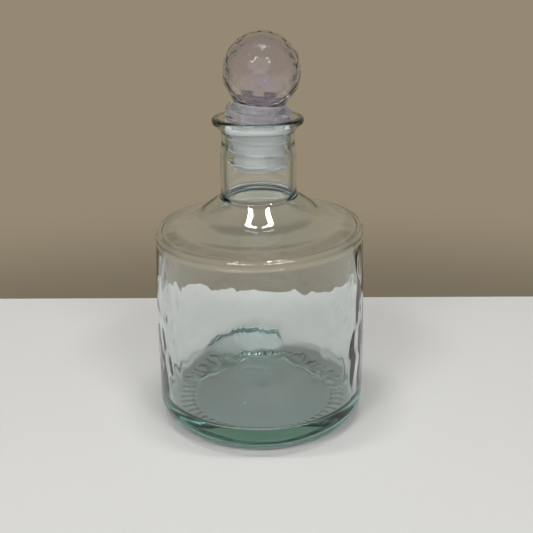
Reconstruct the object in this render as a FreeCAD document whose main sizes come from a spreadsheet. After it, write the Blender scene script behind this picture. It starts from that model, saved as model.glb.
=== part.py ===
import FreeCAD, Part
import math
import os
import Sketcher

# Glass bottle with a faceted ball stopper. Millimetres, +Z up, the origin is the centre of the
# ring the bottle stands on.

# A size is a number, or a formula over the sizes above it.
SIZES = [
    # the glass bottle
    ("body_radius", 43.0, "straight lower part of the body"),
    ("bottle_height", 125.5, "top of the lip"),
    ("finish_bore", 12.1, "opening the stopper goes into"),
    ("neck_length", 30.0, "from the root of the neck up to the lip"),
    ("shoulder_rise", 14.2, "from the shoulder corner up to the root of the neck"),
    ("corner_height", "=bottle_height - neck_length - shoulder_rise", "shoulder corner"),
    ("straight_height", "=0.56 * corner_height", "where the side starts to taper"),
    ("shoulder_radius", "=body_radius - 1.2", "body at the top of its slightly tapered side"),
    ("neck_radius", "=finish_bore + 3", "outside of the neck"),
    ("neck_bore", "=neck_radius - 2", "inside of the neck"),
    ("bend_radius", "=neck_radius + 0.54 * (shoulder_radius - neck_radius)",
     "where the shoulder turns steeper"),
    ("bend_height", "=corner_height + 0.33 * shoulder_rise", "the same place, height"),
    ("finish_radius", "=finish_bore + 2", "narrow band under the lip, outside"),
    ("finish_low", 13.8, "bottom of the narrow band, measured down from the lip"),
    ("finish_top", 5.2, "top of the narrow band, measured down from the lip"),
    ("lip_radius", "=finish_bore + 5.8", "widest part of the lip"),
    ("mouth_radius", "=finish_bore + 3.1", "top of the funnel inside the lip"),
    ("mouth_depth", 5.5, "height of that funnel"),
    ("lip_thick", 1.8, "upright edge of the lip"),
    ("lip_round", 0.8, "rounding of the lip edges"),
    ("wall", 1.5, "glass half way up the side"),
    ("wall_low", 3.1, "glass at the bottom of the side"),
    ("wall_high", 1.2, "glass at the top of the side"),
    ("shoulder_wall", 2.4, "glass in the shoulder, measured upright"),
    ("floor_height", 9.6, "inside floor above the table"),
    ("heel_round", 9.0, "outside rounding of the heel"),
    ("heel_inside", 7.0, "inside rounding of the heel"),
    ("corner_round", 3.5, "outside rounding of the shoulder corner"),
    ("bend_round", 12.0, "rounding where the shoulder turns steeper"),
    ("root_round", 3.0, "rounding where the shoulder turns into the neck"),
    ("ring_radius", "=body_radius - 13", "inner edge of the ring the bottle stands on"),
    ("ring_plain", 1.2, "part of that ring left flat, without grooves"),
    ("push_up", 2.6, "height of the hollow under the floor"),
    ("groove_depth", 0.5, "grooves across the standing ring"),
    ("groove_width", 1.5, "grooves across the standing ring"),
    ("groove_count", 54, "grooves across the standing ring"),
    # gaps between the pieces
    ("seat_gap", 0.05, "sleeve collar above the funnel it sits in"),
    ("slide_gap", 0.08, "sleeve fins inside the bore, on the radius"),
    ("turn_gap", 0.05, "knob shank inside the sleeve, all round"),
    # the clear knob, up to the ball
    ("shank_radius", "=finish_bore - 3.9", "shank inside the sleeve"),
    ("shank_wall", 1.6, "wall of the hollow shank"),
    ("shank_length", 17.5, "shank below the knob's flange"),
    ("flange_radius", "=finish_bore + 0.8", "flange of the knob"),
    ("flange_edge", 4.15, "upright edge of that flange"),
    ("waist_rise", 2.55, "cone from the flange edge up to the ball"),
    # the plastic sleeve
    ("collar_radius", "=finish_bore + 0.6", "collar that sits in the funnel"),
    ("collar_height", 3.3, "that collar"),
    ("tube_length", 15.8, "finned tube below the collar"),
    ("tube_end_radius", "=shank_radius + 1.2", "tube at its lower end"),
    ("tube_top_radius", "=tube_end_radius + 1", "tube under the collar"),
    ("fin_thick", 0.6, "each sealing fin"),
    ("fin_lift", 1.4, "how much higher a fin is at its edge than at the tube"),
    ("fin_first", 1.2, "lowest fin above the end of the tube"),
    ("fin_pitch", 4.8, "from fin to fin"),
    ("fin_count", 3, "sealing fins"),
    # the ball
    ("ball_radius", 15.0, "corner points of the ball"),
    ("ball_hollow", "=0.88 * ball_radius", "hollow inside the ball"),
    ("ring_step", 16.0, "degrees between two rings of corner points"),
    ("top_latitude", 79.0, "degrees, highest ring of corner points"),
    ("ring_count", 9, "rings of corner points"),
    ("ring_points", 9, "corner points in one ring"),
    ("ball_turn", -93.0, "degrees, where the first corner point stands"),
    ("waist_radius", "=ball_radius * cos((top_latitude - (ring_count - 1) * ring_step) * 1deg)",
     "flat underside of the ball"),
    ("boss_radius", "=waist_radius - 1.8", "round boss that enters the ball"),
    ("boss_height", 1.7, "that boss"),
]

SEAT = ("(Size.bottle_height - Size.mouth_depth * (Size.mouth_radius - Size.collar_radius)"
        " / (Size.mouth_radius - Size.finish_bore) + Size.seat_gap)")
FIN_RADIUS = "(Size.finish_bore - Size.slide_gap)"


def make_sheet(doc):
    """The driving sizes, one per row, each with an alias."""
    sheet = doc.addObject("Spreadsheet::Sheet", "Size")
    for row, (name, value, note) in enumerate(SIZES, start=1):
        sheet.set("A%d" % row, name)
        sheet.set("B%d" % row, str(value))
        sheet.set("C%d" % row, note)
        sheet.setAlias("B%d" % row, name)
    doc.recompute()
    return sheet


def origin_part(body, role):
    """The plane or axis of the body's own origin that has this role."""
    for feature in body.Origin.OriginFeatures:
        if feature.Role == role:
            return feature
    raise RuntimeError("no " + role)


def make_body(doc, node, height):
    """An empty body named after its node, standing at the given height."""
    body = doc.addObject("PartDesign::Body", node)
    body.Label = node
    body.setExpression(".Placement.Base.z", height)
    return body


def make_sketch(body, name, plane, corners):
    """A closed outline of straight lines; every corner is a pair of expressions."""
    sketch = body.newObject("Sketcher::SketchObject", name)
    sketch.AttachmentSupport = [(origin_part(body, plane), "")]
    sketch.MapMode = "FlatFace"
    spots = []
    for across, up in corners:
        spots.append(FreeCAD.Vector(value_of(sketch, across), value_of(sketch, up), 0))
    count = len(spots)
    for index in range(count):
        sketch.addGeometry(Part.LineSegment(spots[index], spots[(index + 1) % count]), False)
    for index in range(count):
        sketch.addConstraint(Sketcher.Constraint("Coincident", index, 2, (index + 1) % count, 1))
    for index, (across, up) in enumerate(corners):
        hold_corner(sketch, index, "DistanceX", across, spots[index].x)
        hold_corner(sketch, index, "DistanceY", up, spots[index].y)
    return sketch


def hold_corner(sketch, index, kind, expression, value):
    """Ties one coordinate of a corner to its expression, or to the axis when it is zero."""
    if expression == "0":
        axis = -2 if kind == "DistanceX" else -1
        sketch.addConstraint(Sketcher.Constraint("PointOnObject", index, 1, axis))
        return
    name = "%s_%d" % ("across" if kind == "DistanceX" else "up", index)
    number = sketch.addConstraint(Sketcher.Constraint(kind, -1, 1, index, 1, value))
    sketch.renameConstraint(number, name)
    sketch.setExpression("Constraints." + name, "(%s) * 1mm" % expression)


def value_of(holder, expression):
    """The plain number an expression has now."""
    result = holder.evalExpression(expression)
    return float(getattr(result, "Value", result))


def revolve(body, kind, name, corners):
    """A full turn of an outline about Z, added (Revolution) or cut away (Groove)."""
    sketch = make_sketch(body, name + "_outline", "XZ_Plane", corners)
    turned = body.newObject("PartDesign::" + kind, name)
    turned.Profile = sketch
    turned.ReferenceAxis = (sketch, ["V_Axis"])
    turned.Angle = 360.0
    body.Document.recompute()
    return turned


def round_edges(body, name, base, radius, rings):
    """Rounds the circular edges of a feature; a ring is (radius, height) in expressions."""
    wanted = [(value_of(base, across), value_of(base, up)) for across, up in rings]
    names = []
    for across, up in wanted:
        found = ring_edge(base.Shape, across, up)
        if not found:
            raise RuntimeError("%s: no edge at %.2f, %.2f" % (name, across, up))
        names.append(found)
    fillet = body.newObject("PartDesign::Fillet", name)
    fillet.Base = (base, names)
    fillet.setExpression("Radius", radius)
    body.Document.recompute()
    return fillet


def ring_edge(shape, across, up):
    """The name of the circular edge with this radius and height."""
    for number, edge in enumerate(shape.Edges, start=1):
        curve = edge.Curve
        if not isinstance(curve, Part.Circle):
            continue
        if abs(curve.Radius - across) < 1e-3 and abs(curve.Center.z - up) < 1e-3:
            return "Edge%d" % number
    return None


def make_bottle(doc):
    """The glass: outside turned and rounded, then hollowed, then the standing ring."""
    body = make_body(doc, "glass_bottle", "0mm")
    root = "Size.corner_height + Size.shoulder_rise"
    finish_low = "Size.bottle_height - Size.finish_low"
    finish_top = "Size.bottle_height - Size.finish_top"
    lip_low = "Size.bottle_height - Size.lip_thick"

    outside = revolve(body, "Revolution", "outside", [
        ("0", "0"),
        ("Size.body_radius", "0"),
        ("Size.body_radius", "Size.straight_height"),
        ("Size.shoulder_radius", "Size.corner_height"),
        ("Size.bend_radius", "Size.bend_height"),
        ("Size.neck_radius", root),
        ("Size.neck_radius", finish_low),
        ("Size.finish_radius", finish_low),
        ("Size.finish_radius", finish_top),
        ("Size.lip_radius", lip_low),
        ("Size.lip_radius", "Size.bottle_height"),
        ("0", "Size.bottle_height"),
    ])
    heel = round_edges(body, "outside_heel", outside, "Size.heel_round",
                       [("Size.body_radius", "0")])
    corner = round_edges(body, "outside_corner", heel, "Size.corner_round",
                         [("Size.shoulder_radius", "Size.corner_height")])
    bend = round_edges(body, "outside_bend", corner, "Size.bend_round",
                       [("Size.bend_radius", "Size.bend_height")])
    neck = round_edges(body, "outside_root", bend, "Size.root_round",
                       [("Size.neck_radius", root)])
    lip = round_edges(body, "lip_edges", neck, "Size.lip_round",
                      [("Size.lip_radius", lip_low), ("Size.lip_radius", "Size.bottle_height"),
                       ("Size.neck_radius", finish_low)])

    inside_corner = "Size.corner_height - Size.shoulder_wall + Size.corner_round / 4"
    inside_bend = "Size.bend_height - Size.shoulder_wall"
    hollow = revolve(body, "Groove", "hollow", [
        ("0", "Size.floor_height"),
        ("Size.body_radius - Size.wall_low", "Size.floor_height"),
        ("Size.body_radius - Size.wall", "Size.straight_height"),
        ("Size.shoulder_radius - Size.wall_high", inside_corner),
        ("Size.bend_radius", inside_bend),
        ("Size.neck_bore", root + " - Size.shoulder_wall"),
        ("Size.neck_bore", finish_low),
        ("Size.finish_bore", finish_low + " + Size.neck_bore - Size.finish_bore"),
        ("Size.finish_bore", "Size.bottle_height - Size.mouth_depth"),
        ("Size.mouth_radius", "Size.bottle_height"),
        ("0", "Size.bottle_height"),
    ])
    floor = round_edges(body, "inside_heel", hollow, "Size.heel_inside",
                        [("Size.body_radius - Size.wall_low", "Size.floor_height")])
    shoulder = round_edges(body, "inside_corner", floor, "Size.corner_round - Size.wall_high",
                           [("Size.shoulder_radius - Size.wall_high", inside_corner)])
    turn = round_edges(body, "inside_bend", shoulder, "Size.bend_round",
                       [("Size.bend_radius", inside_bend)])
    throat = round_edges(body, "inside_root", turn, "Size.root_round",
                         [("Size.neck_bore", root + " - Size.shoulder_wall")])
    mouth = round_edges(body, "mouth_edge", throat, "Size.lip_round / 2",
                        [("Size.mouth_radius", "Size.bottle_height")])

    under = revolve(body, "Groove", "push_up", [
        ("0", "0"),
        ("Size.ring_radius", "0"),
        ("Size.ring_radius - 0.8 * Size.push_up", "0.75 * Size.push_up"),
        ("0", "Size.push_up"),
    ])
    add_grooves(body, under)
    return body


def add_grooves(body, before):
    """Short radial grooves across the outer part of the standing ring."""
    half = "Size.groove_width / 2"
    sketch = make_sketch(body, "groove_outline", "YZ_Plane", [
        ("0 - " + half, "0"),
        (half, "0"),
        (half + " / 3", "Size.groove_depth"),
        ("0 - " + half + " / 3", "Size.groove_depth"),
    ])
    sketch.setExpression(".AttachmentOffset.Base.z", "Size.ring_radius + Size.ring_plain")
    groove = body.newObject("PartDesign::Pocket", "ring_groove")
    groove.Profile = sketch
    groove.Reversed = True
    groove.setExpression("Length", "Size.body_radius - Size.ring_radius - Size.ring_plain")
    body.Document.recompute()
    if groove.Shape.Volume >= before.Shape.Volume:
        raise RuntimeError("the groove cuts nothing")
    pattern = body.newObject("PartDesign::PolarPattern", "ring_grooves")
    pattern.Originals = [groove]
    pattern.Axis = (origin_part(body, "Z_Axis"), [""])
    pattern.Angle = 360.0
    pattern.setExpression("Occurrences", "Size.groove_count")
    body.Tip = pattern


def make_sleeve(doc):
    """The soft sleeve: a tapered tube with a collar and fins that lean upwards."""
    body = make_body(doc, "sealing_sleeve", "(%s - Size.tube_length) * 1mm" % SEAT)
    bore = "Size.shank_radius + Size.turn_gap"
    top = "Size.tube_length + Size.collar_height"
    revolve(body, "Revolution", "tube", [
        (bore, "0"),
        ("Size.tube_end_radius", "0"),
        ("Size.tube_top_radius", "Size.tube_length"),
        ("Size.collar_radius", "Size.tube_length"),
        ("Size.collar_radius", top),
        (bore, top),
    ])
    inner = "(%s + Size.tube_end_radius) / 2" % bore
    fin = revolve(body, "Revolution", "fin", [
        (inner, "Size.fin_first"),
        (FIN_RADIUS, "Size.fin_first + Size.fin_lift"),
        (FIN_RADIUS, "Size.fin_first + Size.fin_lift + Size.fin_thick"),
        (inner, "Size.fin_first + Size.fin_thick"),
    ])
    pattern = body.newObject("PartDesign::LinearPattern", "fins")
    pattern.Originals = [fin]
    pattern.Direction = (origin_part(body, "Z_Axis"), [""])
    pattern.setExpression("Length", "Size.fin_pitch * (Size.fin_count - 1)")
    pattern.setExpression("Occurrences", "Size.fin_count")
    body.Tip = pattern
    return body


def make_base(doc):
    """The clear foot of the knob: hollow shank, flange, cone and the boss for the ball."""
    body = make_body(doc, "stopper_base",
                     "(%s + Size.collar_height + Size.turn_gap"
                     " - Size.shank_length) * 1mm" % SEAT)
    rim = "Size.shank_length + Size.flange_edge"
    waist = rim + " + Size.waist_rise"
    boss = waist + " + Size.boss_height"
    shank_bore = "Size.shank_radius - Size.shank_wall"
    ceiling = rim + " - Size.shank_wall"
    turned = revolve(body, "Revolution", "knob_foot", [
        (shank_bore, "0"),
        ("Size.shank_radius", "0"),
        ("Size.shank_radius", "Size.shank_length"),
        ("Size.flange_radius", "Size.shank_length"),
        ("Size.flange_radius", rim),
        ("Size.waist_radius", waist),
        ("Size.boss_radius", waist),
        ("Size.boss_radius", boss),
        ("0", boss),
        ("0", ceiling),
        (shank_bore, ceiling),
    ])
    round_edges(body, "flange_edges", turned, "Size.shank_wall / 4",
                [("Size.flange_radius", "Size.shank_length"), ("Size.flange_radius", rim)])
    return body


def ball_rings(size):
    """The corner points of the ball, ring by ring from the bottom, staggered by half a step."""
    rings = []
    turn = 360.0 / size.ring_points
    for level in range(int(size.ring_count)):
        from_top = int(size.ring_count) - 1 - level
        latitude = math.radians(size.top_latitude - from_top * size.ring_step)
        start = size.ball_turn + (turn / 2 if from_top % 2 else 0)
        ring = []
        for index in range(int(size.ring_points)):
            around = math.radians(start + index * turn)
            ring.append(FreeCAD.Vector(size.ball_radius * math.cos(latitude) * math.cos(around),
                                       size.ball_radius * math.cos(latitude) * math.sin(around),
                                       size.ball_radius * math.sin(latitude)))
        rings.append(ring)
    return rings


def diamond(rings, level, index):
    """The four corners round one stretch of a ring: left, right, below and above it."""
    ring = rings[level]
    left = ring[index]
    right = ring[(index + 1) % len(ring)]
    middle = (left + right) / 2
    below = nearest(rings[level - 1], middle) if level > 0 else None
    above = nearest(rings[level + 1], middle) if level + 1 < len(rings) else None
    return left, right, below, above


def nearest(ring, spot):
    """The corner of a ring that lies closest to a point."""
    return min(ring, key=lambda corner: corner.distanceToPoint(spot))


def ball_facets(rings):
    """Flat triangles between the rings, with a flat polygon at the top and at the bottom."""
    facets = [list(rings[0]), list(rings[-1])]
    for level in range(len(rings)):
        for index in range(len(rings[level])):
            left, right, below, above = diamond(rings, level, index)
            if below is None:
                facets.append([left, right, above])
            elif above is None:
                facets.append([left, below, right])
            elif upright_ridge(left, right, below, above):
                facets.append([left, below, above])
                facets.append([below, right, above])
            else:
                facets.append([left, below, right])
                facets.append([left, right, above])
    return facets


def upright_ridge(left, right, below, above):
    """True when the line from below to above stands further out than the one across."""
    return ((below + above) / 2).Length > ((left + right) / 2).Length


def make_ball(doc, sheet, waist_height):
    """The hollow faceted ball, open below where the boss of the base enters it."""
    rings = ball_rings(sheet)
    faces = [Part.Face(Part.makePolygon(corners + [corners[0]])) for corners in ball_facets(rings)]
    solid = Part.makeSolid(Part.makeShell(faces))
    if solid.Volume < 0:
        solid.reverse()
    low = rings[0][0].z
    hollow = Part.makeSphere(sheet.ball_hollow)
    above_waist = Part.makeBox(4 * sheet.ball_radius, 4 * sheet.ball_radius, 4 * sheet.ball_radius,
                               FreeCAD.Vector(-2 * sheet.ball_radius, -2 * sheet.ball_radius,
                                              low + sheet.boss_height))
    hollow = hollow.common(above_waist)
    mouth = Part.makeCylinder(sheet.boss_radius, sheet.ball_radius, FreeCAD.Vector(0, 0, low))
    ball = doc.addObject("Part::Feature", "stopper_ball")
    ball.Label = "stopper_ball"
    ball.Shape = solid.cut(hollow.fuse(mouth)).removeSplitter()
    ball.Placement = FreeCAD.Placement(FreeCAD.Vector(0, 0, waist_height - low),
                                       FreeCAD.Rotation())
    return ball


def check_and_write(doc, parts):
    """Stops on any object in error; otherwise writes one file for each part."""
    for item in doc.Objects:
        if "Invalid" in item.State or "Error" in item.State:
            raise RuntimeError(item.Label + " is in error")
    os.makedirs("parts", exist_ok=True)
    for part in parts:
        shape = part.Shape
        if shape.isNull() or not shape.isValid() or len(shape.Solids) != 1:
            raise RuntimeError(part.Label + " is not one valid solid")
        shape.exportStep(os.path.join("parts", part.Label + ".step"))
        print(part.Label, round(shape.Volume, 1), shape.BoundBox)


def main():
    doc = FreeCAD.newDocument("stoppered_bottle")
    sheet = make_sheet(doc)
    bottle = make_bottle(doc)
    sleeve = make_sleeve(doc)
    base = make_base(doc)
    doc.recompute()
    waist_height = base.Shape.BoundBox.ZMax - sheet.boss_height
    ball = make_ball(doc, sheet, waist_height)
    doc.recompute()
    check_and_write(doc, [bottle, sleeve, base, ball])


main()
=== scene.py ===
import math

import bmesh
import bpy
from mathutils import Matrix, Vector, noise


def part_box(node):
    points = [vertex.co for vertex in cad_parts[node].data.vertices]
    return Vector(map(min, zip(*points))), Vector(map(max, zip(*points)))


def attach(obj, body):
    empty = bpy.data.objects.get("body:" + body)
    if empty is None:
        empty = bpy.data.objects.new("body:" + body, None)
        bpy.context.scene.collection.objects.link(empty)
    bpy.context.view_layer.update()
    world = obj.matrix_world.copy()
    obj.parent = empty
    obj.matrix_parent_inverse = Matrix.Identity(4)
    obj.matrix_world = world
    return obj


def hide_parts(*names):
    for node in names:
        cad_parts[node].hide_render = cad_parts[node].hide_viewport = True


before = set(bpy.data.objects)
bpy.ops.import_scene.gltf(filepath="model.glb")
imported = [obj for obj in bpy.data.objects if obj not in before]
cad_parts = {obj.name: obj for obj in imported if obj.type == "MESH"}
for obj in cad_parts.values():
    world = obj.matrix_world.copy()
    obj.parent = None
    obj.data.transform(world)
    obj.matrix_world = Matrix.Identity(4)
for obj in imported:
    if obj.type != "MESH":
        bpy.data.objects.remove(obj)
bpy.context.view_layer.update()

MM = 0.001
TURN = 2 * math.pi

bottle_low, bottle_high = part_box("glass_bottle")
sleeve_low, sleeve_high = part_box("sealing_sleeve")
base_low, base_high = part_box("stopper_base")
ball_low, ball_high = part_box("stopper_ball")

BODY = (bottle_high.x - bottle_low.x) / 2
TOP = bottle_high.z
RIBS = 54
SEGMENTS = 8 * RIBS


# ---------------------------------------------------------------- shapes


def smooth(edge_a, edge_b, value):
    """0 before edge_a, 1 after edge_b, and a smooth ramp between."""
    t = (value - edge_a) / (edge_b - edge_a)
    t = min(1.0, max(0.0, t))
    return t * t * (3 - 2 * t)


def rounded_outline(corners, spacing):
    """Closely spaced (radius, height) points along corners given as (radius, height, rounding)."""
    spots = []
    for index, (radius, height, rounding) in enumerate(corners):
        here = Vector((radius, height))
        if not rounding or index in (0, len(corners) - 1):
            spots.append(here)
            continue
        spots += round_corner(Vector(corners[index - 1][:2]), here, Vector(corners[index + 1][:2]),
                              rounding)
    points = [spots[0]]
    for spot in spots[1:]:
        gap = (spot - points[-1]).length
        steps = max(1, math.ceil(gap / spacing))
        start = points[-1]
        for step in range(1, steps + 1):
            points.append(start.lerp(spot, step / steps))
    return points


def round_corner(before, here, after, rounding):
    """The arc that replaces a corner."""
    back = (before - here).normalized()
    ahead = (after - here).normalized()
    opening = back.angle(ahead)
    reach = rounding / math.tan(opening / 2)
    centre = here + (back + ahead).normalized() * (rounding / math.sin(opening / 2))
    first = here + back * reach - centre
    last = here + ahead * reach - centre
    sweep = first.angle(last)
    steps = max(3, math.ceil(math.degrees(sweep) / 6))
    arc = [first.lerp(last, step / steps).normalized() for step in range(steps + 1)]
    return [centre + direction * rounding for direction in arc]


def spin(name, points, segments, move=None):
    """A mesh turned about Z; move(index, angle) gives a point's shift (outwards, upwards)."""
    mesh = bpy.data.meshes.new(name)
    vertices = []
    rows = []
    for index, point in enumerate(points):
        row = []
        count = segments if point.x > 1e-7 else 1
        for segment in range(count):
            angle = TURN * segment / segments
            out, up = move(index, angle) if move else (0.0, 0.0)
            radius = point.x + out if count > 1 else 0.0
            row.append(len(vertices))
            vertices.append((radius * math.cos(angle), radius * math.sin(angle), point.y + up))
        rows.append(row)
    faces = []
    for low, high in zip(rows, rows[1:]):
        for segment in range(segments):
            after = (segment + 1) % segments
            if len(low) == 1:
                faces.append((low[0], high[after], high[segment]))
            elif len(high) == 1:
                faces.append((low[segment], low[after], high[0]))
            else:
                faces.append((low[segment], low[after], high[after], high[segment]))
    mesh.from_pydata(vertices, [], faces)
    mesh.update()
    piece = bpy.data.objects.new(name, mesh)
    bpy.context.collection.objects.link(piece)
    for face in mesh.polygons:
        face.use_smooth = True
    return piece


def side_normals(points):
    """The direction across the outline at each point."""
    normals = []
    for index in range(len(points)):
        before = points[max(0, index - 1)]
        after = points[min(len(points) - 1, index + 1)]
        along = (after - before).normalized()
        normals.append(Vector((along.y, -along.x)))
    return normals


# ---------------------------------------------------------------- bottle

RING = 30.0 * MM
PUSH_UP = 2.6 * MM
FLOOR = 9.6 * MM
STRAIGHT = 45 * MM
CORNER = (41.8 * MM, 81.3 * MM)
ROOT = (15.1 * MM, 94.8 * MM)
NECK = 14.4 * MM
NECK_INSIDE = 13.0 * MM
LIP = 17.9 * MM
MOUTH = 15.2 * MM
BORE = 12.1 * MM


def bottle_outlines():
    """The glass from the middle of its underside round to the middle of its floor."""
    outside = rounded_outline([
        (0, PUSH_UP, 0),
        (RING - 5 * MM, 0.38 * PUSH_UP, 30 * MM),
        (RING, 0, 0.5 * MM),
        (BODY, 0, 9 * MM),
        (BODY, STRAIGHT, 600 * MM),
        (*CORNER, 2.2 * MM),
        (33.0 * MM, 84.0 * MM, 14 * MM),
        (24.6 * MM, 87.8 * MM, 14 * MM),
        (*ROOT, 3.0 * MM),
        (ROOT[0], TOP - 14.0 * MM, 4 * MM),
        (NECK, TOP - 10.0 * MM, 4 * MM),
        (NECK, TOP - 5.2 * MM, 0.5 * MM),
        (LIP, TOP - 2.1 * MM, 0.9 * MM),
        (LIP, TOP, 0.95 * MM),
        (MOUTH, TOP, 0.9 * MM),
    ], 1.0 * MM)
    inside = rounded_outline([
        (MOUTH, TOP, 0),
        (BORE, TOP - 5.5 * MM, 2 * MM),
        (BORE, TOP - 12.0 * MM, 3 * MM),
        (NECK_INSIDE, TOP - 16 * MM, 3 * MM),
        (NECK_INSIDE, 92.4 * MM, 2 * MM),
        (23.4 * MM, 84.7 * MM, 14 * MM),
        (32.5 * MM, 81.2 * MM, 14 * MM),
        (40.7 * MM, 79.8 * MM, 3.5 * MM),
        (41.0 * MM, 47 * MM, 500 * MM),
        (39.5 * MM, FLOOR, 3.0 * MM),
        (0, FLOOR, 0),
    ], 1.0 * MM)
    return outside, inside[1:]


def shoulder_lean(height, x, y):
    """The shoulder of the hand-finished glass leans, up on the right and at the back."""
    part = smooth(52 * MM, 82 * MM, height) * (1 - smooth(92 * MM, 108 * MM, height))
    return part * (0.02 * x + 0.02 * y)


def floor_hump(point, angle):
    """The inside of the heel climbs higher at the back, where the glass gathered."""
    if point.y > 34 * MM:
        return 0.0
    back = math.degrees(angle) - 97
    sector = smooth(-26, -14, back) * (1 - smooth(12, 44, back))
    outer = smooth(29 * MM, 36 * MM, point.x)
    low = 1 - smooth(FLOOR + 6 * MM, 32 * MM, point.y)
    flutes = 1 + 0.06 * math.cos(RIBS * angle)
    return 7 * MM * sector * outer * low * flutes


def make_bottle():
    """The bottle with its uneven inner surface and the short ribs on the ring it stands on."""
    outside, inside = bottle_outlines()
    points = outside + inside
    normals = side_normals(points)
    inner_start = len(outside)

    def move(index, angle):
        point = points[index]
        x = point.x * math.cos(angle)
        y = point.x * math.sin(angle)
        up = shoulder_lean(point.y, x, y)
        if index >= inner_start:
            depth = inner_wave(x, y, point)
            up += floor_hump(point, angle)
        else:
            depth = outer_wave(x, y, point)
            up += rib(point, angle)
        return normals[index].x * depth, up + normals[index].y * depth

    bottle = spin("bottle_glass", points, SEGMENTS, move)
    bottle.data.materials.append(bottle_glass())
    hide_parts("glass_bottle")
    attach(bottle, "bottle")
    return bottle


def rib(point, angle):
    """Rise of the underside between two ribs of the standing ring."""
    if point.y > 3 * MM or point.x < RING:
        return 0.0
    band = smooth(29.8 * MM, 31.0 * MM, point.x) * (1 - smooth(35.4 * MM, 36.8 * MM, point.x))
    return 1.0 * MM * band * (0.5 - 0.5 * math.cos(RIBS * angle))


def inner_wave(x, y, point):
    """The blown inner surface: slow swells with finer upright cords in the side wall."""
    where = Vector((x, y, point.y * 0.55))
    slow = noise.noise(where / (16 * MM) + Vector((3, 1, 8)))
    fine = noise.noise(Vector((x, y, point.y * 0.5)) / (5 * MM) + Vector((7, 3, 1)))
    side = smooth(14 * MM, 30 * MM, point.y) * (1 - smooth(70 * MM, 80 * MM, point.y))
    return (0.24 * slow + 0.16 * fine) * MM * (0.2 + 0.8 * side)


def outer_wave(x, y, point):
    """The moulded outer surface, much smoother."""
    where = Vector((x, y, point.y))
    lifted = smooth(2 * MM, 12 * MM, point.y)
    return 0.035 * MM * lifted * noise.noise(where / (18 * MM) + Vector((2, 9, 4)))


# ---------------------------------------------------------------- stopper

KNOB_LEAN = math.radians(5.4)
FLANGE_LOW = base_low.z + 17.5 * MM
FLANGE_EDGE = 4.15 * MM
SHANK = 8.2 * MM
SHANK_BORE = 6.6 * MM
COLLAR_HEIGHT = 3.3 * MM
TUBE_END = 9.4 * MM
FIN_COUNT = 3
FIN_PITCH = 4.8 * MM
FLANGE = (base_high.x - base_low.x) / 2
COLLAR = (sleeve_high.x - sleeve_low.x) / 2
BALL = 15.4 * MM
RING_STEP = 16
TOP_LATITUDE = 79
RING_COUNT = 9
RING_POINTS = 9
BALL_TURN = -93
LOW_LATITUDE = math.radians(TOP_LATITUDE - (RING_COUNT - 1) * RING_STEP)


def lean_with_knob(piece):
    """Tips a finished piece to the right about the middle of the flange's underside."""
    pivot = Vector((0, 0, FLANGE_LOW))
    tip = Matrix.Translation(pivot) @ Matrix.Rotation(KNOB_LEAN, 4, "Y") @ Matrix.Translation(-pivot)
    piece.data.transform(tip)


def make_sleeve():
    """The soft sleeve: collar, tapered tube and three thin fins bent by the glass."""
    low = sleeve_low.z
    collar_low = sleeve_high.z - COLLAR_HEIGHT
    bore = SHANK + 0.05 * MM
    corners = [(bore, low, 0), (TUBE_END, low, 0.3 * MM)]
    for fin in range(FIN_COUNT):
        root = low + 1.0 * MM + fin * FIN_PITCH
        tube = TUBE_END + 0.07 * (root - low)
        edge = BORE - 0.1 * MM
        corners += [(tube, root, 0.3 * MM), (edge, root + 1.3 * MM, 0.25 * MM),
                    (edge, root + 1.9 * MM, 0.25 * MM), (tube, root + 1.0 * MM, 0.5 * MM)]
    corners += [(10.4 * MM, collar_low, 0.4 * MM), (COLLAR, collar_low, 0.4 * MM),
                (COLLAR, sleeve_high.z, 0.4 * MM), (bore, sleeve_high.z, 0)]
    points = rounded_outline(corners, 0.5 * MM)
    points.append(points[0].copy())

    def move(index, angle):
        point = points[index]
        free = smooth(10.0 * MM, 12.0 * MM, point.x)
        if point.y > collar_low - 0.3 * MM:
            free = 0.0
        x = math.cos(angle)
        ruffle = noise.noise(Vector((2.2 * x, 2.2 * math.sin(angle), point.y / (5 * MM))))
        bend = -1.3 * MM * x + 1.0 * MM * ruffle
        return -0.25 * MM * free * abs(ruffle), bend * free

    sleeve = spin("sleeve_fins", points, 144, move)
    sleeve.data.materials.append(sleeve_plastic())
    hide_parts("sealing_sleeve")
    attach(sleeve, "sleeve")
    return sleeve


def make_base():
    """The clear foot of the knob: hollow shank, flange, dished cone."""
    waist = BALL * math.cos(LOW_LATITUDE)
    rim = FLANGE_LOW + FLANGE_EDGE
    top = ball_low.z - 0.02 * MM
    points = rounded_outline([
        (0, rim - 1.6 * MM, 0),
        (SHANK_BORE, rim - 1.6 * MM, 0.4 * MM),
        (SHANK_BORE, base_low.z, 0.2 * MM),
        (SHANK, base_low.z, 0.3 * MM),
        (SHANK, FLANGE_LOW, 0.3 * MM),
        (FLANGE, FLANGE_LOW, 0.4 * MM),
        (FLANGE, rim, 0.35 * MM),
        (waist + 0.5 * MM, top - 0.7 * MM, 1.0 * MM),
        (waist, top, 0.2 * MM),
        (0, top, 0),
    ], 0.7 * MM)
    base = spin("knob_foot", points, 144)
    lean_with_knob(base)
    base.data.materials.append(clear_plastic("hazy_acrylic", 0.86))
    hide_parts("stopper_base")
    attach(base, "knob")
    return base


def ball_corners():
    """The corner points of the ball in staggered rings, about its own centre."""
    corners = []
    step = 360 / RING_POINTS
    for ring in range(RING_COUNT):
        latitude = math.radians(TOP_LATITUDE - ring * RING_STEP)
        start = BALL_TURN + (step / 2 if ring % 2 else 0)
        for index in range(RING_POINTS):
            around = math.radians(start + index * step)
            corners.append(BALL * Vector((math.cos(latitude) * math.cos(around),
                                          math.cos(latitude) * math.sin(around),
                                          math.sin(latitude))))
    return corners


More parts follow.
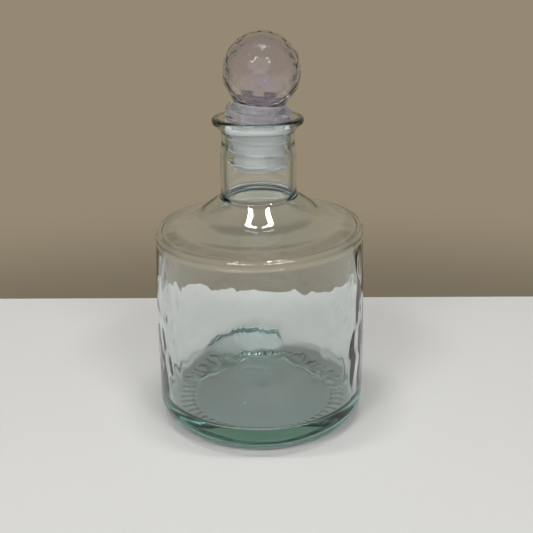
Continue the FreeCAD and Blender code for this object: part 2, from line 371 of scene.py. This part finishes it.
def make_ball():
    """The hollow ball: cut facets with softened ridges outside, smooth inside."""
    shell = bmesh.new()
    for corner in ball_corners():
        shell.verts.new(corner)
    bmesh.ops.convex_hull(shell, input=shell.verts)
    bmesh.ops.dissolve_limit(shell, angle_limit=math.radians(0.5), verts=shell.verts,
                             edges=shell.edges)
    bmesh.ops.bevel(shell, geom=list(shell.edges) + list(shell.verts), offset=0.4 * MM,
                    segments=3, profile=0.5, affect="EDGES", clamp_overlap=True)
    mesh = bpy.data.meshes.new("faceted_ball")
    shell.to_mesh(mesh)
    shell.free()
    low = BALL * math.sin(LOW_LATITUDE)
    inner = BALL - 1.6 * MM
    floor = low + 1.3 * MM
    start = math.asin(floor / inner)
    hollow = [Vector((0, floor))]
    for step in range(49):
        latitude = start + (math.pi / 2 - start) * step / 48
        hollow.append(Vector((inner * math.cos(latitude), inner * math.sin(latitude))))
    hollow[-1] = Vector((0, inner))
    cavity = spin("cavity", hollow, 96)
    cavity.data.flip_normals()
    join_meshes(mesh, cavity)
    ball = bpy.data.objects.new("faceted_ball", mesh)
    bpy.context.collection.objects.link(ball)
    centre = ball_low.z - low
    mesh.transform(Matrix.Translation((0, 0, centre)))
    lean_with_knob(ball)
    ball.data.materials.append(clear_plastic("clear_acrylic", 1.0))
    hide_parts("stopper_ball")
    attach(ball, "knob")
    return ball


def join_meshes(mesh, other):
    """Adds the other object's mesh to this mesh and removes the other object."""
    both = bmesh.new()
    both.from_mesh(mesh)
    both.from_mesh(other.data)
    both.to_mesh(mesh)
    both.free()
    bpy.data.objects.remove(other)


# ---------------------------------------------------------------- materials


def new_material(name):
    """A material with its node tree and its main shader."""
    material = bpy.data.materials.new(name)
    material.use_nodes = True
    tree = material.node_tree
    shader = next(node for node in tree.nodes if node.type == "BSDF_PRINCIPLED")
    return material, tree, shader


def add_absorption(tree, color, density):
    """Colours the light by how far it has to go through the material."""
    output = next(node for node in tree.nodes if node.type == "OUTPUT_MATERIAL")
    volume = tree.nodes.new("ShaderNodeVolumeAbsorption")
    volume.inputs["Color"].default_value = (*color, 1)
    volume.inputs["Density"].default_value = density
    tree.links.new(volume.outputs["Volume"], output.inputs["Volume"])


def add_noise_range(tree, scale, detail, low, high):
    """Noise over the piece's own coordinates, mapped to a range."""
    where = tree.nodes.new("ShaderNodeTexCoord")
    grain = tree.nodes.new("ShaderNodeTexNoise")
    grain.inputs["Scale"].default_value = scale
    grain.inputs["Detail"].default_value = detail
    spread = tree.nodes.new("ShaderNodeMapRange")
    spread.inputs["To Min"].default_value = low
    spread.inputs["To Max"].default_value = high
    tree.links.new(where.outputs["Object"], grain.inputs["Vector"])
    tree.links.new(grain.outputs["Fac"], spread.inputs["Value"])
    return spread.outputs["Result"]


def bottle_glass():
    """Recycled glass, nearly clear where thin and teal where thick."""
    material, tree, shader = new_material("tinted_glass")
    shader.inputs["Base Color"].default_value = (1, 1, 1, 1)
    shader.inputs["Transmission Weight"].default_value = 1.0
    shader.inputs["IOR"].default_value = 1.52
    tree.links.new(add_noise_range(tree, 90, 3, 0.0, 0.03), shader.inputs["Roughness"])
    add_absorption(tree, (0.30, 0.76, 0.74), 24)
    return material


def clear_plastic(name, clearness):
    """Clear acrylic with a faint violet cast in its edges."""
    material, tree, shader = new_material(name)
    shader.inputs["Base Color"].default_value = (0.97, 0.96, 1, 1)
    shader.inputs["Transmission Weight"].default_value = clearness
    shader.inputs["IOR"].default_value = 1.49
    tree.links.new(add_noise_range(tree, 200, 2, 0.0, 0.04), shader.inputs["Roughness"])
    add_absorption(tree, (0.60, 0.55, 0.90), 4)
    return material


def sleeve_plastic():
    """Milky soft plastic that lets some light through."""
    material, tree, shader = new_material("milky_plastic")
    shader.inputs["Base Color"].default_value = (0.92, 0.92, 0.92, 1)
    shader.inputs["Transmission Weight"].default_value = 0.15
    shader.inputs["Subsurface Weight"].default_value = 0.5
    shader.inputs["Subsurface Radius"].default_value = (1, 1, 1)
    shader.inputs["Subsurface Scale"].default_value = 2 * MM
    shader.inputs["IOR"].default_value = 1.5
    tree.links.new(add_noise_range(tree, 400, 3, 0.3, 0.45), shader.inputs["Roughness"])
    return material


def floor_paint():
    """Plain pale floor."""
    material, tree, shader = new_material("pale_floor")
    shader.inputs["Base Color"].default_value = (0.63, 0.63, 0.63, 1)
    tree.links.new(add_noise_range(tree, 40, 4, 0.5, 0.62), shader.inputs["Roughness"])
    return material


# ---------------------------------------------------------------- stage, light and camera


def make_floor():
    """A plain pale slab that ends a little way behind the bottle."""
    back, front, half, thick = 118.4 * MM, -1.6, 1.6, 30 * MM
    mesh = bpy.data.meshes.new("floor")
    slab = bmesh.new()
    bmesh.ops.create_cube(slab, size=1)
    slab.to_mesh(mesh)
    slab.free()
    mesh.transform(Matrix.Diagonal((2 * half, back - front, thick, 1)))
    mesh.transform(Matrix.Translation((0, (back + front) / 2, -thick / 2 - 0.05 * MM)))
    slab_object = bpy.data.objects.new("floor", mesh)
    bpy.context.collection.objects.link(slab_object)
    slab_object.rotation_euler.z = math.radians(-1.5)
    mesh.materials.append(floor_paint())


def add_light(name, place, target, size, power, color):
    """A rectangular soft light aimed at a point."""
    light = bpy.data.lights.new(name, "AREA")
    light.shape = "RECTANGLE"
    light.size, light.size_y = size
    light.energy = power
    light.color = color
    holder = bpy.data.objects.new(name, light)
    holder.location = place
    holder.rotation_euler = (Vector(target) - Vector(place)).to_track_quat("-Z", "Y").to_euler()
    bpy.context.collection.objects.link(holder)
    holder.visible_camera = False
    return holder


def make_world():
    """Plain surroundings: a warm taupe wall behind with painted shade low down, and dark to the
    sides.
    """
    world = bpy.data.worlds.new("surroundings")
    bpy.context.scene.world = world
    world.use_nodes = True
    tree = world.node_tree
    background = next(node for node in tree.nodes if node.type == "BACKGROUND")
    where = tree.nodes.new("ShaderNodeTexCoord")
    split = tree.nodes.new("ShaderNodeSeparateXYZ")
    ramp = tree.nodes.new("ShaderNodeValToRGB")
    # low scales the backdrop's strength by direction height: painted shade on the wall low down
    low = tree.nodes.new("ShaderNodeMapRange")
    tree.links.new(where.outputs["Generated"], split.inputs["Vector"])
    tree.links.new(split.outputs["Y"], ramp.inputs["Fac"])
    tree.links.new(ramp.outputs["Color"], background.inputs["Color"])
    tree.links.new(split.outputs["Z"], low.inputs["Value"])
    tree.links.new(low.outputs["Result"], background.inputs["Strength"])
    ramp.color_ramp.interpolation = "EASE"
    stops = ramp.color_ramp.elements
    stops.new(0.5)
    stops[0].color = (0.22, 0.22, 0.20, 1)
    stops[1].color = (0.07, 0.088, 0.080, 1)
    stops[2].color = (0.30, 0.25, 0.175, 1)
    stops[2].position = 0.85
    # Painted shade: directions lower than about -16 degrees dim down to 0.62 of the backdrop's
    # strength
    low.interpolation_type = "SMOOTHSTEP"
    low.inputs["From Min"].default_value = -0.385
    low.inputs["From Max"].default_value = -0.28
    low.inputs["To Min"].default_value = 0.62
    low.inputs["To Max"].default_value = 1.0


def make_lights():
    """Two ceiling lights above the bottle, two further forward, and a soft fill."""
    target = (0, 0, 80 * MM)
    for side in (-1, 1):
        above = (side * 0.19 - 0.03, -0.02, 1.3)
        ahead = (side * 0.60, -1.0, 1.25)
        add_light("ceiling", above, target, (0.045, 0.26), 3.2, (1, 0.99, 0.97))
        add_light("ahead", ahead, target, (0.45, 0.12), 7, (1, 0.99, 0.97))
    fill = add_light("fill", (-0.4, -2.0, 1.3), target, (3, 2), 25, (1, 0.99, 0.98))
    fill.visible_glossy = False


def make_camera():
    """The camera stands a little above the shoulder and looks down on the bottle."""
    data = bpy.data.cameras.new("camera")
    data.sensor_width = 36
    data.lens = 880.6 / 533 * 36
    camera = bpy.data.objects.new("camera", data)
    bpy.context.collection.objects.link(camera)
    aim = (Matrix.Rotation(math.radians(-0.466), 4, "Z")
           @ Matrix.Rotation(math.radians(90 - 20.71), 4, "X")
           @ Matrix.Rotation(-0.0112, 4, "Z"))
    camera.matrix_world = Matrix.Translation((0, -0.3392, 0.1917)) @ aim
    bpy.context.scene.camera = camera


def main():
    make_bottle()
    make_sleeve()
    make_base()
    make_ball()
    make_floor()
    make_world()
    make_lights()
    make_camera()
    scene = bpy.context.scene
    scene.view_settings.view_transform = "Standard"
    scene.cycles.use_denoising = True


main()
